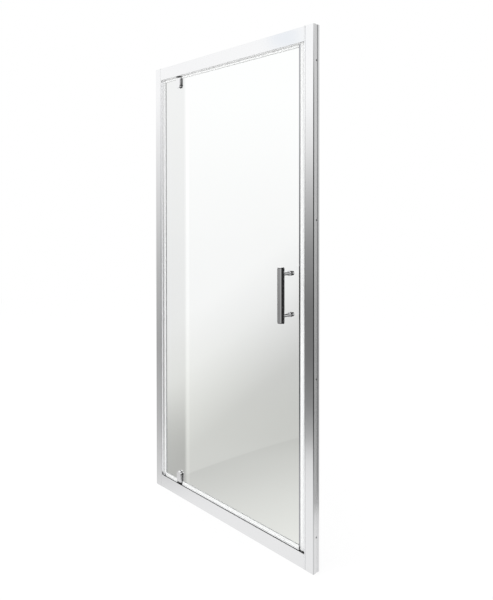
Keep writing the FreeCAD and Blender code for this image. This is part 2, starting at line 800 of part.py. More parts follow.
save("top_pivot_block", pivot_block())
save("bottom_pivot_block", below(pivot_block()))
save("pivot_block_screws", *(pivot_block_screws() + [below(screw) for screw in pivot_block_screws()]))
save("thrust_washer", thrust_washer())

save("glass_pane", glass_pane())

for end, place in (("top", lambda shape: shape), ("bottom", below)):
    save(end + "_clamp_front", place(clamp_front()))
    save(end + "_clamp_rear", place(clamp_rear()))
    save(end + "_clamp_gaskets", *[place(pad) for pad in clamp_gaskets()])
    save(end + "_clamp_screws", *[place(screw) for screw in clamp_screws()])
    save(end + "_pivot_pin", place(pivot_pin()))
save("pin_grub_screws", grub_screw(), below(grub_screw()))

save("closing_edge_clip", edge_clip(glass_right, 1))
save("closing_seal", closing_seal())
save("closing_magnet", magnet_pocket(closing_back_x + closing_neck + seal_wall, 0.0))
save("hinge_edge_clip", edge_clip(glass_left, -1))
save("hinge_seal", hinge_seal())

seal_left = glass_left + clip_overlap + seal_end_gap
seal_right = glass_right - clip_overlap - seal_end_gap
for end, make_seal in (("top", top_seal), ("bottom", bottom_seal)):
    save(end + "_seal_short", make_seal(seal_left, pivot_x - seal_stop))
    save(end + "_seal_long", make_seal(pivot_x + seal_stop, seal_right))

save("handle_bar", handle_bar())
save("handle_end_caps", handle_end_cap(-1), handle_end_cap(1))
save("handle_posts", *[handle_post(z) for z in handle_zs()])
save("handle_collars", *[handle_collar(z) for z in handle_zs()])
save("handle_pads", *[handle_pad(z, side) for z in handle_zs() for side in (-1, 1)])
save("handle_sleeves", *[handle_sleeve(z) for z in handle_zs()])
save("handle_studs", *[handle_stud(z) for z in handle_zs()])
save("handle_back_caps", *[handle_back_cap(z) for z in handle_zs()])
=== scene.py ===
import math

import bmesh
import bpy
from mathutils import Matrix, Vector


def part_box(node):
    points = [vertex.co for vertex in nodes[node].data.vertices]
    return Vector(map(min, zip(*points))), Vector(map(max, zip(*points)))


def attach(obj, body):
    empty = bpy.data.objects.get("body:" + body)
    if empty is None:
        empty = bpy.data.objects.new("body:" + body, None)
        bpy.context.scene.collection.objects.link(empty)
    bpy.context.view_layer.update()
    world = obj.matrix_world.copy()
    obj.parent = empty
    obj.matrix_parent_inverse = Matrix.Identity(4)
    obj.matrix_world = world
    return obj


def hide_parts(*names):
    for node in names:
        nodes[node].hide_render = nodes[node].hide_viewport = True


# A framed pivot shower door with a clear glass leaf. Metres; X along the door, -Y outside, Z up.
# CAD nodes get their finishes. Shaped seals, clips, screws, covers and collars stand for plain solids.

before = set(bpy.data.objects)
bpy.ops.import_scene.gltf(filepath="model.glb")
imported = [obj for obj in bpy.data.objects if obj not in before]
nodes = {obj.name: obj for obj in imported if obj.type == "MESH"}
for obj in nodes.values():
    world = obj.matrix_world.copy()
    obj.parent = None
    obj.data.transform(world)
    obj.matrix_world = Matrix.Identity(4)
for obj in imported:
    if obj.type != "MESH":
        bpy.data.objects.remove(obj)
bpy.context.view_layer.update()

MM = 0.001


def ends(node):
    """A node's lowest and highest corners at rest."""
    low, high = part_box(node)
    return Vector(low), Vector(high)


# ---- camera: where it stands, how it is turned in degrees, and its lens in millimetres ----
CAMERA_PLACE = (1.6519, -1.5051, 1.2305)
CAMERA_TURN = 45.646
CAMERA_DIP = 0.6
CAMERA_ROLL = -0.047
CAMERA_LENS = 34.134
CAMERA_SHIFT_Y = -0.1414


def make_camera():
    """The camera stands at the right of the door, a little above its middle."""
    data = bpy.data.cameras.new("camera")
    data.lens = CAMERA_LENS
    data.shift_y = CAMERA_SHIFT_Y
    camera = bpy.data.objects.new("camera", data)
    turn = Matrix.Rotation(math.radians(CAMERA_TURN), 4, "Z")
    tilt = Matrix.Rotation(math.radians(90 - CAMERA_DIP), 4, "X")
    roll = Matrix.Rotation(math.radians(CAMERA_ROLL), 4, "Z")
    camera.matrix_world = Matrix.Translation(CAMERA_PLACE) @ turn @ tilt @ roll
    bpy.context.scene.collection.objects.link(camera)
    bpy.context.scene.camera = camera


# ---- shader maths ----
# How a pattern is squeezed along each axis, so that it runs in lines along X or Z, or evenly.
ALONG_X = (1, 60, 60)
ALONG_Z = (60, 60, 1)
EVEN = (1, 1, 1)

# A Mix node's factor, its two colours and its colour output, by number, because they share their names
MIX_INPUTS = (0, 6, 7)
MIX_OUTPUT = 2


class Wire:
    """One output of a shader tree. Sums on it add their own Math nodes."""

    def __init__(self, graph, output):
        self.graph = graph
        self.output = output

    def other(self, name):
        """Another output of the same node."""
        return Wire(self.graph, self.output.node.outputs[name])

    def maths(self, operation, *terms):
        """A Math node on some terms."""
        return self.graph.add("ShaderNodeMath", {"operation": operation}, dict(enumerate(terms)))

    def at_least(self, term):
        """The larger of this and a term."""
        return self.maths("MAXIMUM", self, term)

    def __abs__(self):
        return self.maths("ABSOLUTE", self)

    def __add__(self, term):
        return self.maths("ADD", self, term)

    def __radd__(self, term):
        return self.maths("ADD", term, self)

    def __sub__(self, term):
        return self.maths("SUBTRACT", self, term)

    def __rsub__(self, term):
        return self.maths("SUBTRACT", term, self)

    def __mul__(self, term):
        return self.maths("MULTIPLY", self, term)

    def __rmul__(self, term):
        return self.maths("MULTIPLY", term, self)

    def __lt__(self, term):
        return self.maths("LESS_THAN", self, term)


class Graph:
    """The node tree of a material, of the world or of a shape."""

    def __init__(self, tree):
        self.tree = tree
        self.tree.nodes.clear()

    def add(self, kind, settings=None, inputs=None):
        """Adds a node: its settings first, then the values or links of its sockets."""
        node = self.tree.nodes.new(kind)
        for name, value in (settings or {}).items():
            if name == "stops":
                fill_ramp(node.color_ramp, value)
            else:
                setattr(node, name, value)
        for key, value in (inputs or {}).items():
            if isinstance(value, Wire):
                self.tree.links.new(value.output, node.inputs[key])
            else:
                node.inputs[key].default_value = value
        return Wire(self, node.outputs[0]) if node.outputs else None

    def ease(self, value, start, end, low=0.0, high=1.0):
        """A smooth step from low, where value is start, to high, where it is end."""
        limits = {"Value": value, "From Min": start, "From Max": end, "To Min": low, "To Max": high}
        return self.add("ShaderNodeMapRange", {"interpolation_type": "SMOOTHSTEP"}, limits)

    def within(self, value, low, high, soft):
        """1 between low and high, easing to 0 outside over the soft width."""
        return self.ease(value, low - soft, low) * self.ease(value, high + soft, high)

    def profile(self, degrees, stops):
        """A brightness that follows an angle from -90 to 90 degrees through its stops."""
        places = [((angle + 90) / 180, value) for angle, value in stops]
        return self.add("ShaderNodeValToRGB", {"stops": places}, {"Fac": degrees * (1 / 180) + 0.5})

    def blend(self, factor, first, second):
        """A colour between two colours."""
        inputs = dict(zip(MIX_INPUTS, (factor, first, second)))
        return self.add("ShaderNodeMix", {"data_type": "RGBA"}, inputs).other(MIX_OUTPUT)

    def place(self, scale=EVEN):
        """Object coordinates, squeezed by a scale along each axis."""
        spot = self.add("ShaderNodeTexCoord").other("Object")
        return self.add("ShaderNodeMapping", {}, {"Vector": spot, "Scale": scale})

    def split(self, vector):
        """A vector's X, Y and Z, as the outputs of one node."""
        return self.add("ShaderNodeSeparateXYZ", {}, {"Vector": vector})

    def noise(self, vector, scale, detail=2.0, roughness=0.5):
        """Smooth noise from 0 to 1."""
        settings = {"Vector": vector, "Scale": scale, "Detail": detail, "Roughness": roughness}
        return self.add("ShaderNodeTexNoise", {}, settings)

    def bump(self, height, strength, distance):
        """A normal tilted by a height in metres times the distance."""
        return self.add("ShaderNodeBump", {}, {"Height": height, "Strength": strength, "Distance": distance})

    def surface(self, shader):
        """Sends a shader to the material's output."""
        self.add("ShaderNodeOutputMaterial", {}, {"Surface": shader})


def fill_ramp(ramp, stops):
    """Gives a colour ramp its stops, each a place and a brightness."""
    while len(ramp.elements) > 1:
        ramp.elements.remove(ramp.elements[-1])
    for index, (place, value) in enumerate(stops):
        element = ramp.elements[0] if index == 0 else ramp.elements.new(place)
        element.position = place
        element.color = (value, value, value, 1)


# ---- painted shade and light on the metals, rougher patches, each a mask over Object coordinates ----
# Sizes of the extrusions and of the handle's end caps, which the imported boxes don't give
RECESS_HALF = 4.5 * MM
RECESS_DEPTH = 1.2 * MM
GUTTER_SETBACK = 1.2 * MM
SILL_GUTTER_WIDTH = 4.6 * MM
HEAD_GUTTER_WIDTH = 1.2 * MM
GUTTER_DEPTH = 4.0 * MM
END_CAP_THICKNESS = 2.2 * MM
END_CAP_GROOVE = 1.3 * MM

# How far a patch reaches past the face or the edge where it ends, and how soft it ends
PAST_FACE = 0.1 * MM
PAST_EDGE = 0.05 * MM
TINY = 0.02 * MM

# The painted shade in the corners of the wall channel's recess: its width, and the heights over which it
# comes up
CORNER_SHADE = 0.35 * MM
LIT_FOOT = (0.20, 0.34)
LIT_FOOT_SHARE = 0.15


def recess_corner_shade(graph, spot):
    """Painted shade in the two corners of the long recess in a wall channel's back, fainter at its lit foot.
    """
    outer = ends("wall_channel_right")[1].x
    bottom = outer - RECESS_DEPTH
    across = abs(spot.other("X"))
    along = abs(spot.other("Y"))
    on_bottom = graph.within(across, bottom - PAST_FACE, bottom + PAST_FACE, TINY)
    on_side = graph.within(across, bottom - PAST_FACE, outer - PAST_EDGE, TINY)
    corner = graph.within(along, RECESS_HALF - CORNER_SHADE, RECESS_HALF + TINY, TINY)
    side = graph.within(along, RECESS_HALF - TINY, RECESS_HALF + TINY, TINY / 2)
    shade = (on_bottom * corner).at_least(on_side * side)
    return shade * graph.ease(spot.other("Z"), *LIT_FOOT, LIT_FOOT_SHARE, 1.0)


def sill_gutter_shade(graph, spot):
    """Painted shade inside the two drain gutters in the bottom rail."""
    high = ends("bottom_rail")[1]
    outer = high.y - GUTTER_SETBACK
    inner = outer - SILL_GUTTER_WIDTH
    across = graph.within(abs(spot.other("Y")), inner - PAST_EDGE, outer + PAST_EDGE, TINY / 2)
    top = high.z - PAST_FACE
    return across * graph.within(spot.other("Z"), top - GUTTER_DEPTH, top, TINY)


def rail_underside_light(graph, spot):
    """Painted light on the underside of the head rail between its two gutters: pale, in place of the shaded
    seal that it would mirror.
    """
    low, high = ends("head_rail")
    inner = high.y - GUTTER_SETBACK - HEAD_GUTTER_WIDTH
    across = graph.within(spot.other("Y"), -inner, inner, TINY)
    return across * graph.within(spot.other("Z"), low.z - PAST_FACE, low.z + PAST_FACE, TINY)


def bar_groove_shade(graph, spot):
    """Painted shade in the fine grooves between the bar and its end caps."""
    low, high = ends("handle_end_caps")
    start = END_CAP_THICKNESS + TINY
    end = END_CAP_THICKNESS + END_CAP_GROOVE
    height = spot.other("Z")
    upper = graph.within(height, high.z - end, high.z - start, TINY / 2)
    lower = graph.within(height, low.z + start, low.z + end, TINY / 2)
    return upper + lower


# ---- materials ----
# How fine the noise of each pattern is
DRAWN_LINES = 40.0
CLOUDS = 6.0
TURNED_GRAIN = 900.0
SEAL_LINES = 60.0
MOULDED_GRAIN = 700.0

# How high the lines on metal stand, and the lines and grain on plastic
METAL_RELIEF = 0.03 * MM
PLASTIC_RELIEF = 0.05 * MM

# Roughness of each finish, and what a patch of painted shade or light and the ground edge of the glass add to
# it
MIRROR = 0.03
ANODISED = 0.07
SATIN = 0.12
PALE_SATIN = 0.30
PATCH_ROUGHNESS = 0.6
GROUND_ROUGHNESS = 0.15

# The glass is ground wherever less of its normal than this points along Y
GROUND_LIMIT = 0.8

# Colours: one alone, or the darkest and lightest tone of a finish
# Painted shade, the near black laid in the recess corners, gutters and grooves of the metals
PAINTED_SHADE = (0.012, 0.012, 0.013, 1)
# Painted light, laid pale on the underside of the head rail
PALE = (0.97, 0.97, 0.97, 1)
GLASS_FACE = (0.985, 0.995, 0.990, 1)
GLASS_EDGE = (0.55, 0.80, 0.70, 1)
BRIGHT = ((0.875, 0.878, 0.888, 1), (0.90, 0.902, 0.908, 1))
TRIM = ((0.93, 0.935, 0.94, 1), (0.95, 0.955, 0.96, 1))
# Dark grey of the closing edge clip: partly its own colour, partly painted shade along the closing edge
GREY = ((0.38, 0.385, 0.40, 1), (0.42, 0.425, 0.44, 1))
CHROME = ((0.85, 0.85, 0.86, 1), (0.88, 0.88, 0.885, 1))
# Painted shade: a darker copy of the mirror chrome, for the handle's posts, back caps and collars
SHADED_CHROME = ((0.62, 0.62, 0.63, 1), (0.68, 0.68, 0.69, 1))
STEEL = ((0.60, 0.60, 0.61, 1), (0.70, 0.70, 0.71, 1))
WHITE = ((0.86, 0.865, 0.865, 1), (0.90, 0.905, 0.905, 1))
MILKY = ((0.90, 0.91, 0.905, 1), (0.95, 0.955, 0.95, 1))
BLACK_NYLON = ((0.016, 0.016, 0.017, 1), (0.03, 0.03, 0.031, 1))
MILKY_NYLON = ((0.72, 0.73, 0.72, 1), (0.80, 0.81, 0.80, 1))
SILVER_GREY = ((0.56, 0.57, 0.58, 1), (0.64, 0.65, 0.66, 1))
BLACK_RUBBER = ((0.02, 0.02, 0.02, 1), (0.035, 0.035, 0.035, 1))
PALE_FOAM = ((0.86, 0.865, 0.87, 1), (0.90, 0.905, 0.91, 1))
MAGNET = ((0.05, 0.045, 0.04, 1), (0.09, 0.08, 0.07, 1))


def finish(name, build):
    """A new material whose shader is made by the build function."""
    material = bpy.data.materials.new(name)
    material.use_nodes = True
    graph = Graph(material.node_tree)
    graph.surface(build(graph))
    return material


def polished(name, tones, roughness, along, patch=None, painted_tone=PAINTED_SHADE, metal_share=1.0):
    """Bright metal with fine lines along its length. The patch function says where shade or light is painted
    on it, rougher and in the painted tone.
    """
    def build(graph):
        lines = graph.noise(graph.place(along), DRAWN_LINES, detail=3.0, roughness=0.6)
        tone = graph.blend(graph.noise(graph.place(), CLOUDS), *tones)
        metal = metal_share
        sheen = roughness + lines * 0.05
        if patch:
            painted_and_matt = patch(graph, graph.split(graph.place()))
            tone = graph.blend(painted_and_matt, tone, painted_tone)
            metal = (1.0 - painted_and_matt) * metal_share
            sheen = sheen + painted_and_matt * PATCH_ROUGHNESS
        return graph.add("ShaderNodeBsdfPrincipled", {}, {
            "Base Color": tone,
            "Metallic": metal,
            "Roughness": sheen,
            "Normal": graph.bump(lines, 0.12, METAL_RELIEF),
        })
    return finish(name, build)


def plain_steel(name):
    """Turned stainless steel."""
    def build(graph):
        grain = graph.noise(graph.place(), TURNED_GRAIN)
        return graph.add("ShaderNodeBsdfPrincipled", {}, {
            "Base Color": graph.blend(grain, *STEEL),
            "Metallic": 1.0,
            "Roughness": 0.22 + grain * 0.1,
        })
    return finish(name, build)


def clear_glass(name):
    """Clear toughened glass: nearly colourless through its faces and green at its ground edges."""
    def build(graph):
        normal = graph.add("ShaderNodeTexCoord").other("Normal")
        edge = abs(graph.split(normal).other("Y")) < GROUND_LIMIT
        return graph.add("ShaderNodeBsdfPrincipled", {}, {
            "Base Color": graph.blend(edge, GLASS_FACE, GLASS_EDGE),
            "Roughness": edge * GROUND_ROUGHNESS,
            "IOR": 1.5,
            "Transmission Weight": 1.0,
        })
    return finish(name, build)


def soft_plastic(name, tones, along, roughness):
    """Extruded soft plastic with faint lines along its length."""
    def build(graph):
        lines = graph.noise(graph.place(along), SEAL_LINES)
        return graph.add("ShaderNodeBsdfPrincipled", {}, {
            "Base Color": graph.blend(lines, *tones),
            "Roughness": roughness + lines * 0.08,
            "Normal": graph.bump(lines, 0.2, PLASTIC_RELIEF),
            "IOR": 1.45,
        })
    return finish(name, build)


def moulded_plastic(name, tones, roughness):
    """Moulded plastic or rubber with a fine grain."""
    def build(graph):
        grain = graph.noise(graph.place(), MOULDED_GRAIN)
        return graph.add("ShaderNodeBsdfPrincipled", {}, {
            "Base Color": graph.blend(grain, *tones),
            "Roughness": roughness + grain * 0.12,
            "Normal": graph.bump(grain, 0.3, PLASTIC_RELIEF),
        })
    return finish(name, build)


# The channel and sill finishes carry painted shade in their recess corners and gutters
channel_metal = polished("channel_aluminium", BRIGHT, ANODISED, ALONG_Z, recess_corner_shade)
upright_metal = polished("bright_aluminium_upright", BRIGHT, ANODISED, ALONG_Z)
# The head rail's finish, with painted light on its underside
level_metal = polished("bright_aluminium_level", BRIGHT, ANODISED, ALONG_X, rail_underside_light, PALE)
sill_metal = polished("sill_aluminium", BRIGHT, ANODISED, ALONG_X, sill_gutter_shade)
satin_trim = polished("satin_trim", TRIM, SATIN, ALONG_Z, metal_share=0.78)
pale_trim = polished("pale_satin_trim", TRIM, PALE_SATIN, ALONG_Z, metal_share=0.25)
# The closing clip's dark grey, partly painted shade along the closing edge
grey_trim = polished("grey_trim", GREY, SATIN, ALONG_Z)
chrome = polished("mirror_chrome", CHROME, MIRROR, EVEN)
# The darker copy of the mirror chrome, painted shade on the handle's posts, back caps and collars
shaded_chrome = polished("shaded_chrome", SHADED_CHROME, MIRROR, EVEN)
# Mirror chrome with painted shade in the grooves next to its end caps
cap_chrome = polished("chrome_with_groove_shade", CHROME, MIRROR, EVEN, bar_groove_shade)
steel = plain_steel("plain_steel")
glass = clear_glass("clear_glass")
white_strip = soft_plastic("white_strip", WHITE, ALONG_Z, roughness=0.35)
milky_upright = soft_plastic("milky_strip_upright", MILKY, ALONG_Z, roughness=0.2)
milky_level = soft_plastic("milky_strip_level", MILKY, ALONG_X, roughness=0.2)
black_nylon = moulded_plastic("black_nylon", BLACK_NYLON, roughness=0.38)
milky_nylon = moulded_plastic("milky_nylon", MILKY_NYLON, roughness=0.35)
grey_plastic = moulded_plastic("silver_grey_plastic", SILVER_GREY, roughness=0.32)
black_rubber = moulded_plastic("black_rubber", BLACK_RUBBER, roughness=0.6)
pale_foam = moulded_plastic("pale_foam", PALE_FOAM, roughness=0.7)
magnet = moulded_plastic("magnet_strip", MAGNET, roughness=0.55)

NODE_FINISHES = {
    channel_metal: ("wall_channel_left", "wall_channel_right"),
    upright_metal: ("jamb_left", "jamb_right"),
    level_metal: ("head_rail",),
    sill_metal: ("bottom_rail",),
    chrome: ("top_clamp_front", "top_clamp_rear", "bottom_clamp_front", "bottom_clamp_rear", "handle_bar"),
    shaded_chrome: ("handle_posts", "handle_back_caps"),
    cap_chrome: ("handle_end_caps",),
    steel: ("rail_screws", "adjuster_screws", "top_pivot_pin", "bottom_pivot_pin", "handle_studs"),
    glass: ("glass_pane",),
    black_nylon: ("top_pivot_block", "bottom_pivot_block", "thrust_washer"),
    milky_nylon: ("handle_sleeves",),
    grey_plastic: ("jamb_cap_left", "jamb_cap_right"),
    black_rubber: ("top_clamp_gaskets", "bottom_clamp_gaskets", "handle_pads"),
    pale_foam: ("rail_gaskets",),
    magnet: ("strike_magnet", "closing_magnet"),
}


def paint_nodes():
    """Gives every CAD node that stays in view its finish. The clear leaf casts no shadow."""
    for material, names in NODE_FINISHES.items():
        for name in names:
            for slot in nodes[name].material_slots:
                slot.material = material
    nodes["glass_pane"].visible_shadow = False


# ---- shapes ----
ROUND_STEPS = 48
CORNER_STEPS = 4
WELD = 0.001 * MM

# Angles in degrees: edges that turn by more than the first stay sharp, and corners more open than the
# second aren't rounded
SHARP_EDGE = 30
FLAT_CORNER = 170

# The most of a side that one of its rounded corners may take
SIDE_SHARE = 0.49


def new_object(name, mesh):
    """An object at the origin that holds a mesh."""
    piece = bpy.data.objects.new(name, mesh)
    bpy.context.scene.collection.objects.link(piece)
    return piece


def finish_mesh(name, shell, material):
    """Turns the faces outwards, keeps the sharp edges and makes the mesh."""
    bmesh.ops.remove_doubles(shell, verts=shell.verts, dist=WELD)
    bmesh.ops.recalc_face_normals(shell, faces=shell.faces)
    mesh = bpy.data.meshes.new(name)
    shell.to_mesh(mesh)
    shell.free()
    mesh.shade_smooth()
    mesh.set_sharp_from_angle(angle=math.radians(SHARP_EDGE))
    mesh.materials.append(material)
    return mesh


def joined(name, pieces, material):
    """Several pieces in one mesh."""
    shell = bmesh.new()
    for piece in pieces:
        shell.from_mesh(piece.data)
        bpy.data.objects.remove(piece)
    return new_object(name, finish_mesh(name, shell, material))


def round_corner(before, corner, after, radius):
    """Points of the arc that replaces a corner of an outline."""
    to_before = (before - corner).normalized()
    to_after = (after - corner).normalized()
    half = to_before.angle(to_after) / 2
    if half > math.radians(FLAT_CORNER / 2) or radius <= 0:
        return [corner]
    shorter = min((before - corner).length, (after - corner).length)
    reach = min(radius / math.tan(half), shorter * SIDE_SHARE)
    start = corner + to_before * reach
    end = corner + to_after * reach
    shares = [step / CORNER_STEPS for step in range(CORNER_STEPS + 1)]
    return [start.lerp(corner, share).lerp(corner.lerp(end, share), share) for share in shares]


def rounded(outline, radius):
    """An outline in the plane with every corner rounded. A point may carry its own radius."""
    points = [Vector(point[:2]) for point in outline]
    arcs = []
    for index, corner in enumerate(points):
        own = outline[index][2] if len(outline[index]) > 2 else radius
        arcs += round_corner(points[index - 1], corner, points[(index + 1) % len(points)], own)
    return arcs


def arc(centre, radius, start, sweep):
    """Points of an arc in the plane round a centre on its first axis, its angles in radians."""
    turns = [start + sweep * step / ROUND_STEPS for step in range(ROUND_STEPS + 1)]
    return [Vector((centre + radius * math.cos(turn), radius * math.sin(turn))) for turn in turns]


def upright(across, forward, along):
    """Where a point of an outline goes in a moulding that stands along Z."""
    return (across, forward, along)


def level(forward, rise, along):
    """Where a point of an outline goes in a moulding that lies along X."""
    return (along, forward, rise)


def strip(name, loops, place, start, end, material):
    """A straight moulding from start to end. The first loop is its outline and the others are holes."""
    shell = bmesh.new()
    rims = ([], [])
    for loop in loops:
        rings = [[shell.verts.new(place(*point, along)) for point in loop] for along in (start, end)]
        first, last = rings
        for index in range(len(loop)):
            after = (index + 1) % len(loop)
            shell.faces.new((first[index], first[after], last[after], last[index]))
        for rim, ring in zip(rims, rings):
            rim += [shell.edges.get((ring[index - 1], ring[index])) for index in range(len(ring))]
    for rim in rims:
        bmesh.ops.triangle_fill(shell, use_beauty=True, edges=rim)
    return new_object(name, finish_mesh(name, shell, material))


def turned(name, rings, material):
    """A turned piece along Z. Each ring is a height and a radius, or a height and a radius for each angle."""
    shell = bmesh.new()
    loops = []
    for height, radius in rings:
        if radius == 0:
            loops.append([shell.verts.new((0, 0, height))])
            continue
        loop = []
        for step in range(ROUND_STEPS):
            angle = 2 * math.pi * step / ROUND_STEPS
            reach = radius(angle) if callable(radius) else radius
            loop.append(shell.verts.new((reach * math.cos(angle), reach * math.sin(angle), height)))
        loops.append(loop)
    for first, second in zip(loops, loops[1:]):
        for step in range(ROUND_STEPS):
            corners = [first[step % len(first)], first[(step + 1) % len(first)],
                       second[(step + 1) % len(second)], second[step % len(second)]]
            shell.faces.new(list(dict.fromkeys(corners)))
    return finish_mesh(name, shell, material)


def round_rim(rise, radius, size, steps):
    """The rings of a turned piece's rounded rim, from its side up to its top."""
    turns = [math.pi / 2 * step / steps for step in range(steps + 1)]
    return [(rise - size * (1 - math.sin(turn)), radius - size * (1 - math.cos(turn))) for turn in turns]


def hexagon(width):
    """The radius of a six-sided socket, by angle, from its width across the flats."""
    def reach(angle):
        return width / 2 / math.cos((angle + math.pi / 6) % (math.pi / 3) - math.pi / 6)
    return reach


def cross(span, slot):
    """The radius of a cross recess, by angle, from its span and the width of its slots."""
    def reach(angle):
        turn = angle % (math.pi / 2)
        nearest = min(turn, math.pi / 2 - turn)
        tip = span / 2 / math.cos(nearest)
        return min(tip, slot / 2 / math.sin(nearest)) if nearest > 0 else tip
    return reach


class Rows:
    """The Geometry Nodes tree that sets copies of a piece in rows."""

    INPUTS = (("Columns", "NodeSocketInt"), ("Column step", "NodeSocketVector"),
              ("Rows", "NodeSocketInt"), ("Row step", "NodeSocketVector"),
              ("First place", "NodeSocketVector"), ("Turn", "NodeSocketRotation"),
              ("Finish", "NodeSocketMaterial"))

    def __init__(self):
        self.tree = bpy.data.node_groups.new("pieces_in_rows", "GeometryNodeTree")
        self.tree.interface.new_socket("Pieces", in_out="OUTPUT", socket_type="NodeSocketGeometry")
        self.tree.interface.new_socket("Piece", in_out="INPUT", socket_type="NodeSocketGeometry")
        self.identifiers = {}
        for label, kind in self.INPUTS:
            socket = self.tree.interface.new_socket(label, in_out="INPUT", socket_type=kind)
            self.identifiers[label] = socket.identifier
        graph = Graph(self.tree)
        given = graph.add("NodeGroupInput")
        column = graph.add("GeometryNodeMeshLine", {"mode": "OFFSET"}, {
            "Count": given.other("Columns"), "Offset": given.other("Column step"),
            "Start Location": given.other("First place")})
        row = graph.add("GeometryNodeMeshLine", {"mode": "OFFSET"}, {
            "Count": given.other("Rows"), "Offset": given.other("Row step")})
        grid = graph.add("GeometryNodeInstanceOnPoints", {}, {"Points": column, "Instance": row})
        places = graph.add("GeometryNodeRealizeInstances", {}, {"Geometry": grid})
        copies = graph.add("GeometryNodeInstanceOnPoints", {}, {
            "Points": places, "Instance": given.other("Piece"), "Rotation": given.other("Turn")})
        solid = graph.add("GeometryNodeRealizeInstances", {}, {"Geometry": copies})
        painted = graph.add("GeometryNodeSetMaterial", {}, {
            "Geometry": solid, "Material": given.other("Finish")})
        graph.add("NodeGroupOutput", {}, {"Pieces": painted})

    def lay_out(self, name, mesh, material, first, row, turn, column=(1, (0, 0, 0))):
        """Sets turned copies of a mesh in a row, or in columns too, and returns them as one plain piece."""
        maker = new_object(name + "_maker", mesh)
        modifier = maker.modifiers.new("rows", "NODES")
        modifier.node_group = self.tree
        values = {"Columns": column[0], "Column step": column[1], "Rows": row[0], "Row step": row[1],
                  "First place": first, "Turn": [math.radians(angle) for angle in turn], "Finish": material}
        for label, value in values.items():
            modifier[self.identifiers[label]] = value
        bpy.context.view_layer.update()
        view = bpy.context.evaluated_depsgraph_get()
        result = bpy.data.meshes.new_from_object(maker.evaluated_get(view))
        maker.modifiers.remove(modifier)
        bpy.data.objects.remove(maker)
        result.name = name
        return new_object(name, result)


# ---- seals, edge clips and the stop strip: the sizes in their outlines ----
LIP_GAP = 0.15 * MM
LIP_ROUND = 0.4 * MM
SOFT_ROUND = 0.8 * MM
POCKET_GAP = 0.1 * MM
CLOSING_NECK = 4.7 * MM
FOOT_HALF = 3.0 * MM
BARB_HALF = 4.0 * MM
BARB_THICKNESS = 1.6 * MM
JAMB_WALL = 1.9 * MM
STRIKE_DEPTH = 12.5 * MM
STRIKE_HALF = 5.0 * MM
STRIKE_WALL = 0.8 * MM
STRIKE_ROUND = 0.2 * MM
STOP_LIP_GAP = 0.4 * MM
STOP_LIP = 1.6 * MM
BULB_WALL = 1.1 * MM
TOP_WEB = 1.2 * MM
TOP_FIN = 1.2 * MM
BOTTOM_WEB = 1.4 * MM
DRIP_FIN = 1.1 * MM
DRIP_SPLAY = 1.6 * MM
BOTTOM_LIP = 1.3 * MM

pane_low, pane_high = ends("glass_pane")
slot_half = pane_high.y + LIP_GAP


def stand_for(piece, node, body):
    """The piece rides a body and takes the place of a node."""
    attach(piece, body)
    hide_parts(node)


def magnet_room(node):
    """The outline of the pocket round a magnet."""
    low, high = ends(node)
    left, right = low.x - POCKET_GAP, high.x + POCKET_GAP
    front, back = low.y - POCKET_GAP, high.y + POCKET_GAP
    return [Vector(corner) for corner in ((left, front), (right, front), (right, back), (left, back))]


def make_edge_clip(node, edge, side, material):
    """The trim on an upright edge of the glass. Side is 1 at the closing edge and -1 at the hinge."""
    low, high = ends(node)
    web, lip = (high.x, low.x) if side > 0 else (low.x, high.x)
    outline = [(lip, low.y), (web, low.y), (web, high.y), (lip, high.y), (lip, slot_half),
               (edge, slot_half, 0.0), (edge, -slot_half, 0.0), (lip, -slot_half)]
    piece = strip(node + "_trim", [rounded(outline, LIP_ROUND)], upright, low.z, high.z, material)
    stand_for(piece, node, "door")


def make_white_strip(name, loops, node, body):
    """A white strip as high as its node. Metal doesn't mirror it, so the handle's dark side stays dark."""
    low, high = ends(node)
    piece = strip(name, loops, upright, low.z, high.z, white_strip)
    stand_for(piece, node, body)
    piece.visible_glossy = False


def make_closing_seal():
    """The soft magnetic strip on the closing edge of the leaf."""
    low, high = ends("closing_seal")
    back_half = ends("closing_edge_clip")[1].y
    neck = low.x + CLOSING_NECK
    outline = [(low.x, -back_half), (neck, low.y), (high.x, low.y), (high.x, high.y), (neck, high.y),
               (low.x, back_half)]
    loops = [rounded(outline, SOFT_ROUND), magnet_room("closing_magnet")]
    make_white_strip("closing_seal_strip", loops, "closing_seal", "door")


def make_strike_seal():
    """The soft magnetic strip in the closing jamb, with its stop lip on the inside."""
    start = ends("strike_seal")[0].x
    doorway = ends("jamb_right")[0].x
    face = doorway - STRIKE_DEPTH
    barb = doorway + JAMB_WALL
    tip = barb + BARB_THICKNESS
    lip = STRIKE_HALF + STOP_LIP_GAP
    outline = [(face, -STRIKE_HALF, SOFT_ROUND), (doorway, -STRIKE_HALF), (doorway, -FOOT_HALF),
               (barb, -FOOT_HALF), (barb, -BARB_HALF), (tip, -FOOT_HALF), (tip, FOOT_HALF),
               (barb, BARB_HALF), (barb, FOOT_HALF), (doorway, FOOT_HALF), (doorway, lip + STOP_LIP),
               (start, lip + STOP_LIP, SOFT_ROUND), (start, lip, SOFT_ROUND), (face + STRIKE_WALL, lip),
               (face + STRIKE_WALL, STRIKE_HALF), (face, STRIKE_HALF)]
    loops = [rounded(outline, STRIKE_ROUND), magnet_room("strike_magnet")]
    make_white_strip("strike_seal_strip", loops, "strike_seal", "frame")


def make_hinge_seal():
    """The hollow bulb on the hinge edge of the leaf."""
    low, high = ends("hinge_seal")
    radius = high.y
    centre = low.x + radius
    back = [Vector((high.x, low.y)), Vector((high.x, high.y))]
    outer = arc(centre, radius, math.pi / 2, math.pi) + back
    bore = arc(centre, radius - BULB_WALL, 0, 2 * math.pi)[:-1]
    piece = strip("hinge_bulb", [outer, bore], upright, low.z, high.z, milky_upright)
    stand_for(piece, "hinge_seal", "door")


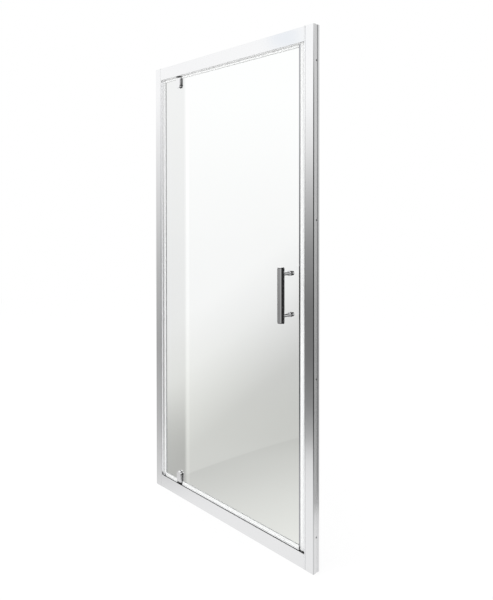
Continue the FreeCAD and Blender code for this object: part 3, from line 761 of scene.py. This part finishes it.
def make_hinge_stop():
    """The stop strip on the hinge jamb, just outside the bulb."""
    low, high = ends("hinge_stop")
    half = (high.y - low.y) / 2
    foot = low.x + half
    outline = [(low.x, high.y, 0.0), (foot, high.y), (high.x, high.y - half / 2), (high.x, high.y - half),
               (foot, low.y), (low.x, low.y)]
    piece = strip("hinge_stop_strip", [rounded(outline, LIP_ROUND)], upright, low.z, high.z, satin_trim)
    stand_for(piece, "hinge_stop", "frame")


def make_top_seal(node):
    """A clip on the top edge of the glass, with a fin towards the head rail."""
    low, high = ends(node)
    web = pane_high.z + TOP_WEB
    fin = TOP_FIN / 2
    outline = [(low.y, low.z), (-slot_half, low.z), (-slot_half, pane_high.z, 0.0),
               (slot_half, pane_high.z, 0.0), (slot_half, low.z), (high.y, low.z), (high.y, web),
               (fin, web), (fin, high.z), (-fin, high.z), (-fin, web), (low.y, web)]
    piece = strip(node + "_strip", [rounded(outline, LIP_ROUND)], level, low.x, high.x, milky_level)
    stand_for(piece, node, "door")


def make_bottom_seal(node):
    """A drip seal on the bottom edge of the glass, with two splayed fins."""
    low, high = ends(node)
    lip = pane_high.y + BOTTOM_LIP
    inner = lip - DRIP_FIN
    web = pane_low.z - BOTTOM_WEB
    half = [(slot_half, pane_low.z, 0.0), (slot_half, high.z), (lip, high.z), (lip, web),
            (lip + DRIP_SPLAY, low.z), (inner + DRIP_SPLAY, low.z), (inner, web)]
    outline = half + [(-point[0],) + point[1:] for point in reversed(half)]
    piece = strip(node + "_strip", [rounded(outline, LIP_ROUND)], level, low.x, high.x, milky_level)
    stand_for(piece, node, "door")


# ---- screws: their heads, shanks and recesses ----
CLAMP_SCREW_HEAD = 7.6 * MM
CLAMP_SCREW_SHANK = 4.0 * MM
CLAMP_SCREW_SOCKET = 3.0 * MM
CLAMP_SOCKET_DEPTH = 2.0 * MM
GRUB_SOCKET = 2.0 * MM
GRUB_SOCKET_DEPTH = 1.8 * MM
GRUB_EDGE = 0.3 * MM
BLOCK_SCREW_HEAD = 5.2 * MM
BLOCK_SCREW_SHANK = 2.9 * MM
BLOCK_SCREW_CROSS = 3.2 * MM
BLOCK_SCREW_SLOT = 0.9 * MM
BLOCK_SCREW_DEPTH = 1.4 * MM

# A screw's rounded rim and point, and its recess: wider at the mouth, narrower at the bottom
HEAD_RIM = 0.2 * MM
SCREW_POINT = 1.0 * MM
MOUTH_DEPTH = 0.15 * MM
MOUTH_SCALE = 1.08
BOTTOM_SCALE = 0.94

# Turns in degrees that point the top of a turned piece into the shower or out of it
FACE_INSIDE = (-90, 0, 0)
FACE_OUTSIDE = (90, 0, 0)


def flat_screw(name, head, shank, length, recess, depth):
    """A countersunk screw, its face at the origin and its shank down -Z."""
    cone = (head - shank) / 2
    rings = [(-depth, 0), (-depth, recess(BOTTOM_SCALE)), (-MOUTH_DEPTH, recess(1.0)),
             (0, recess(MOUTH_SCALE)), (0, head / 2 - HEAD_RIM), (-HEAD_RIM, head / 2), (-cone, shank / 2),
             (SCREW_POINT - length, shank / 2), (-length, shank / 4), (-length, 0)]
    return turned(name, rings, steel)


def hex_recess(width):
    """Gives the outline of a six-sided socket at a scale."""
    return lambda scale: hexagon(width * scale)


def cross_recess(span, slot):
    """Gives the outline of a cross recess at a scale."""
    return lambda scale: cross(span * scale, slot * scale)


def make_clamp_screws(rows, node):
    """The two socket screws of one clamp, set in its rear plate."""
    low, high = ends(node)
    half = CLAMP_SCREW_HEAD / 2
    screw = flat_screw(node + "_shape", CLAMP_SCREW_HEAD, CLAMP_SCREW_SHANK, high.y - low.y,
                       hex_recess(CLAMP_SCREW_SOCKET), CLAMP_SOCKET_DEPTH)
    first = ((low.x + high.x) / 2, high.y, low.z + half)
    step = (0, 0, high.z - low.z - 2 * half)
    piece = rows.lay_out(node + "_set", screw, steel, first, row=(2, step), turn=FACE_INSIDE)
    stand_for(piece, node, "door")


def make_grub_screws(rows):
    """The two socket grub screws that lock the pivot pins."""
    low, high = ends("pin_grub_screws")
    radius = (high.x - low.x) / 2
    length = high.y - low.y
    socket = hexagon(GRUB_SOCKET)
    rings = [(-GRUB_SOCKET_DEPTH, 0), (-GRUB_SOCKET_DEPTH, socket), (0, socket), (0, radius - GRUB_EDGE),
             (-GRUB_EDGE, radius), (radius / 2 - length, radius), (-length, radius / 2), (-length, 0)]
    screw = turned("grub_screw_shape", rings, steel)
    first = ((low.x + high.x) / 2, high.y, low.z + radius)
    step = (0, 0, high.z - low.z - 2 * radius)
    piece = rows.lay_out("pin_grub_screw_set", screw, steel, first, row=(2, step), turn=FACE_INSIDE)
    stand_for(piece, "pin_grub_screws", "door")


def make_block_screws(rows):
    """The cross-headed screws that hold the two pivot blocks to the rails."""
    low, high = ends("pivot_block_screws")
    half = BLOCK_SCREW_HEAD / 2
    middle = (low.x + high.x) / 2
    step = (0, high.y - low.y - 2 * half, 0)
    recess = cross_recess(BLOCK_SCREW_CROSS, BLOCK_SCREW_SLOT)
    lower_seat = ends("bottom_pivot_block")[1].z
    upper_seat = ends("top_pivot_block")[0].z
    sets = []
    for seat, tip, turn in ((lower_seat, low.z, 0), (upper_seat, high.z, 180)):
        screw = flat_screw("block_screw_shape", BLOCK_SCREW_HEAD, BLOCK_SCREW_SHANK, abs(seat - tip),
                           recess, BLOCK_SCREW_DEPTH)
        first = (middle, low.y + half, seat)
        sets.append(rows.lay_out("block_screws", screw, steel, first, row=(2, step), turn=(turn, 0, 0)))
    piece = joined("pivot_block_screw_set", sets, steel)
    stand_for(piece, "pivot_block_screws", "frame")


# ---- adjuster covers and handle collars ----
COVER_ROWS = 3
COVER_RADIUS = 5.5 * MM
COVER_WALL = 1.0 * MM
COVER_EDGE = 1.1 * MM
COVER_CORNER = 0.3 * MM
NOTCH_DEPTH = 0.7 * MM
NOTCH_TOP = 0.6 * MM
NOTCH_END = 0.9 * MM
NOTCH_ANGLE = 1.5 * math.pi
NOTCH_HALF_ANGLE = 0.3
DISH_DEPTH = 0.25 * MM
DISH_RIM = 1.8 * MM
DISH_EDGE = 2.3 * MM
COLLAR_BORE = 6.1 * MM
COLLAR_ROUND = 2.6 * MM
COLLAR_EDGE = 0.5 * MM
COLLAR_GROOVE = (1.2 * MM, 1.9 * MM)
COLLAR_GROOVE_DEPTH = 0.6 * MM


def make_adjuster_covers(rows):
    """The snap-on covers over the adjuster screws, with a dished face and a notch to lift them by."""
    low, high = ends("adjuster_covers")
    rise = high.y - low.y
    radius = COVER_RADIUS

    def notched(angle):
        return radius - NOTCH_DEPTH if abs(angle - NOTCH_ANGLE) < NOTCH_HALF_ANGLE else radius

    inside = radius - COVER_WALL
    under = rise - COVER_WALL
    rings = [(under, 0), (under, inside - COVER_CORNER), (under - COVER_CORNER, inside),
             (0, inside), (0, notched), (NOTCH_TOP, notched), (NOTCH_END, radius)]
    rings += round_rim(rise, radius, COVER_EDGE, CORNER_STEPS)
    dish = rise - DISH_DEPTH
    rings += [(rise, radius - DISH_RIM), (dish, radius - DISH_EDGE), (dish, 0)]
    cover = turned("cover_shape", rings, grey_plastic)
    first = (low.x + radius, low.y, low.z + radius)
    across = (high.x - low.x - 2 * radius, 0, 0)
    up = (0, 0, (high.z - low.z - 2 * radius) / (COVER_ROWS - 1))
    piece = rows.lay_out("adjuster_cover_set", cover, grey_plastic, first, column=(2, across),
                         row=(COVER_ROWS, up), turn=FACE_INSIDE)
    stand_for(piece, "adjuster_covers", "frame")


def make_collars(rows):
    """The turned collars of the handle, round at the shoulder and grooved next to the glass."""
    low, high = ends("handle_collars")
    radius = (high.x - low.x) / 2
    rise = high.y - low.y
    bore = COLLAR_BORE / 2
    start, end = COLLAR_GROOVE
    root = radius - COLLAR_GROOVE_DEPTH
    rings = [(0, bore), (0, radius - COLLAR_EDGE), (COLLAR_EDGE, radius), (start, radius),
             (start, root), (end, root), (end, radius)]
    rings += round_rim(rise, radius, COLLAR_ROUND, 2 * CORNER_STEPS)
    rings += [(rise, bore), (0, bore)]
    # The collars take the darker chrome copy, which paints shade on them
    collar = turned("collar_shape", rings, shaded_chrome)
    first = ((low.x + high.x) / 2, high.y, low.z + radius)
    step = (0, 0, high.z - low.z - 2 * radius)
    piece = rows.lay_out("handle_collar_set", collar, shaded_chrome, first, row=(2, step), turn=FACE_OUTSIDE)
    stand_for(piece, "handle_collars", "door")


def dress():
    """Makes every piece that stands for a plain solid."""
    make_edge_clip("closing_edge_clip", pane_high.x, 1, grey_trim)
    make_edge_clip("hinge_edge_clip", pane_low.x, -1, pale_trim)
    make_closing_seal()
    make_strike_seal()
    make_hinge_seal()
    make_hinge_stop()
    for node in ("top_seal_short", "top_seal_long"):
        make_top_seal(node)
    for node in ("bottom_seal_short", "bottom_seal_long"):
        make_bottom_seal(node)
    rows = Rows()
    make_clamp_screws(rows, "top_clamp_screws")
    make_clamp_screws(rows, "bottom_clamp_screws")
    make_grub_screws(rows)
    make_block_screws(rows)
    make_adjuster_covers(rows)
    make_collars(rows)


# ---- floor ----
PLAIN_WHITE = (1, 1, 1, 1)
FLOOR_HALF = 6.0
FLOOR_DROP = 0.5 * MM
FLOOR_PAINT = (0.9, 0.9, 0.9, 1)
FLOOR_GLOW = 1.04
FLOOR_GLOW_SHARE = 0.82


def make_floor():
    """A pale floor, which shows white and keeps a soft shadow."""
    mesh = bpy.data.meshes.new("floor")
    corners = [(-1, -1), (1, -1), (1, 1), (-1, 1)]
    mesh.from_pydata([(x * FLOOR_HALF, y * FLOOR_HALF, -FLOOR_DROP) for x, y in corners], [], [(0, 1, 2, 3)])
    floor = new_object("floor", mesh)

    def build(graph):
        seen = graph.add("ShaderNodeLightPath").other("Is Camera Ray")
        paint = graph.add("ShaderNodeBsdfDiffuse", {}, {"Color": FLOOR_PAINT})
        glow = graph.add("ShaderNodeEmission", {}, {"Color": PLAIN_WHITE, "Strength": FLOOR_GLOW})
        return graph.add("ShaderNodeMixShader", {}, {0: seen * FLOOR_GLOW_SHARE, 1: paint, 2: glow})

    mesh.materials.append(finish("floor_white", build))
    floor.visible_glossy = False
    floor.visible_transmission = False


# ---- the studio that the metal mirrors ----
# Every place is an azimuth or a height in degrees, and a span is its two ends and how soft they are.
# Each wall is brightness against height.
NEAR_WALL = ((-27, 0.90), (-23.6, 0.80), (-22, 0.46), (-19, 0.27), (-15, 0.19), (-10, 0.18), (-4, 0.30),
             (1, 0.52), (6, 0.84), (11, 1.06))
FAR_WALL = ((-27, 0.90), (-24.5, 0.66), (-20, 0.50), (-13, 0.40), (-6, 0.52), (2, 0.76), (11, 1.03))
DARK_CORNER = ((-30, 0.62), (-27, 0.42), (-23.5, 0.16), (-20, 0.025), (4, 0.025), (11, 0.15), (15, 0.48),
               (19, 0.85))
SIDE_WALL = ((-30, 0.80), (-28.5, 0.74), (-27.65, 0.68), (-27.4, 0.36), (-26, 0.44), (-20, 0.34), (-14, 0.32),
             (-4, 0.45), (6, 0.58), (15, 0.66))
OPEN_WHITE = 1.06

FRONT_SPAN = (-150, -33, 0.3)
FAR_TO_NEAR = (-144, -129)
HAZE = (-123, -58)
HAZE_SHARE = 0.24
DARK_SPAN = (-33, 49.2, 0.3)
SIDE_SPAN = (49.5, 55, 0.3)
BRIGHT_EDGE = (46.8, 49.3, 0.2)

# Black cards, each a span across and a span in height, for the bar's edge and then for its posts.
BLACK_CARDS = (((55.3, 134.5, 0.3), (-11.7, -2, 0.4)),
               ((56, 104, 2), (15, 54, 2)),
               ((56, 112, 2), (-54, -20, 2)))

# A dim band beyond two azimuths, which the very edge of the bar mirrors
RIM_START = (128, 130)
RIM_END = (-150.5, -151.5)
RIM_HEIGHT = (-11.7, -3, 0.4)
RIM_TONE = 0.2

# ---- the room that shows through the glass ----
# A wall, brightness against height, and a floor, brightness against degrees below its edge.
ROOM_WALL = ((-24, 0.61), (-18.5, 0.645), (-15, 0.77), (-11, 0.91), (-6, 1.0))
ROOM_FLOOR = ((0, 0.565), (2, 0.605), (4, 0.67), (7, 0.76), (12, 0.90))
ROOM_MIDDLE = 135.3
WALL_SLANT = 0.75
FLOOR_EDGE = -23.2
FLOOR_SLANT = 0.275
ROOM_CORNER = 141.75
CORNER_GLINT = 0.06
CORNER_SOFT = 0.1
SIDE_ROOM_HEIGHT = (-16, -23)
SIDE_ROOM_SHARE = (0.88, 0.68)

# A warm tint low in the room and the pale blue of a small window that the head rail mirrors
WARM_HEIGHT = (-8, -22)
WARM = (0.995, 1.0, 0.96, 1)
WINDOW = ((-133, -130.6, 0.4), (16, 17.5, 0.4))
WINDOW_BLUE = (0.84, 0.88, 0.93, 1)


def lay(under, over, mask):
    """One brightness over another, where the mask is 1."""
    return under + (over - under) * mask


def studio_light(graph, azimuth, height):
    """A white studio with a grey wall, a dark corner and a side wall."""
    near = graph.profile(height, NEAR_WALL)
    front = lay(graph.profile(height, FAR_WALL), near, graph.ease(azimuth, *FAR_TO_NEAR))
    front = lay(front, 1.0, graph.ease(azimuth, *HAZE, 0.0, HAZE_SHARE))
    light = lay(OPEN_WHITE, front, graph.within(azimuth, *FRONT_SPAN))
    light = lay(light, graph.profile(height, DARK_CORNER), graph.within(azimuth, *DARK_SPAN))
    light = lay(light, graph.profile(height, SIDE_WALL), graph.within(azimuth, *SIDE_SPAN))
    light = lay(light, 1.0, graph.within(azimuth, *BRIGHT_EDGE))
    for across, up in BLACK_CARDS:
        light = lay(light, 0.0, graph.within(azimuth, *across) * graph.within(height, *up))
    rim = graph.ease(azimuth, *RIM_START) + graph.ease(azimuth, *RIM_END)
    return lay(light, RIM_TONE, rim * graph.within(height, *RIM_HEIGHT))


def room_light(graph, azimuth, height):
    """A wall, its corner on the left and the edge of a floor."""
    across = azimuth - ROOM_MIDDLE
    wall = graph.profile(height + across * WALL_SLANT, ROOM_WALL)
    drop = FLOOR_EDGE - across * FLOOR_SLANT - height
    light = lay(wall, graph.profile(drop, ROOM_FLOOR), graph.ease(drop, -CORNER_SOFT, CORNER_SOFT))
    side = wall * graph.ease(height, *SIDE_ROOM_HEIGHT, *SIDE_ROOM_SHARE)
    corner = ROOM_CORNER - CORNER_SOFT
    light = lay(light, side, graph.ease(azimuth, corner, corner + 3 * CORNER_SOFT))
    return light + graph.within(azimuth, corner - 2 * CORNER_SOFT, corner, CORNER_SOFT) * CORNER_GLINT


def make_world():
    """White to the camera, the room to what goes through the glass, and the studio to all else."""
    world = bpy.data.worlds.new("studio")
    bpy.context.scene.world = world
    world.use_nodes = True
    graph = Graph(world.node_tree)
    direction = graph.split(graph.add("ShaderNodeTexCoord").other("Generated"))
    degrees = 180 / math.pi
    azimuth = direction.maths("ARCTAN2", direction.other("Y"), direction.other("X")) * degrees
    height = direction.maths("ARCSINE", direction.other("Z")) * degrees

    # what goes through the glass, with no mirror on the way
    path = graph.add("ShaderNodeLightPath")
    through = path.other("Is Transmission Ray") * (path.other("Glossy Depth") < 0.5)
    light = lay(studio_light(graph, azimuth, height), room_light(graph, azimuth, height), through)
    light = lay(light, 1.0, path.other("Is Camera Ray"))
    tint = graph.blend(through * graph.ease(height, *WARM_HEIGHT), PLAIN_WHITE, WARM)
    window = graph.within(azimuth, *WINDOW[0]) * graph.within(height, *WINDOW[1])
    tint = graph.blend(window, tint, WINDOW_BLUE)
    backdrop = graph.add("ShaderNodeBackground", {}, {"Color": tint, "Strength": light})
    graph.add("ShaderNodeOutputWorld", {}, {"Surface": backdrop})


# ---- lamps: the name, place, size and power of each, and the point that all look at ----
LAMPS = (("front_lamp", (-1.6, -3.0, 2.6), 2.0, 15),
         ("low_lamp", (-0.7, -3.2, 0.4), 2.0, 28),
         ("side_lamp", (3.2, -0.6, 2.4), 1.6, 20))
LAMP_AIM = (0, 0, 0.9)


def make_lamp(name, place, size, power):
    """A soft square lamp that looks at the middle of the door."""
    data = bpy.data.lights.new(name, "AREA")
    data.size = size
    data.energy = power
    lamp = bpy.data.objects.new(name, data)
    look = Vector(LAMP_AIM) - Vector(place)
    lamp.matrix_world = Matrix.Translation(place) @ look.to_track_quat("-Z", "Y").to_matrix().to_4x4()
    lamp.visible_glossy = False
    lamp.visible_transmission = False
    bpy.context.scene.collection.objects.link(lamp)


make_camera()
paint_nodes()
dress()
make_floor()
make_world()
for lamp in LAMPS:
    make_lamp(*lamp)
bpy.context.scene.view_settings.view_transform = "Standard"
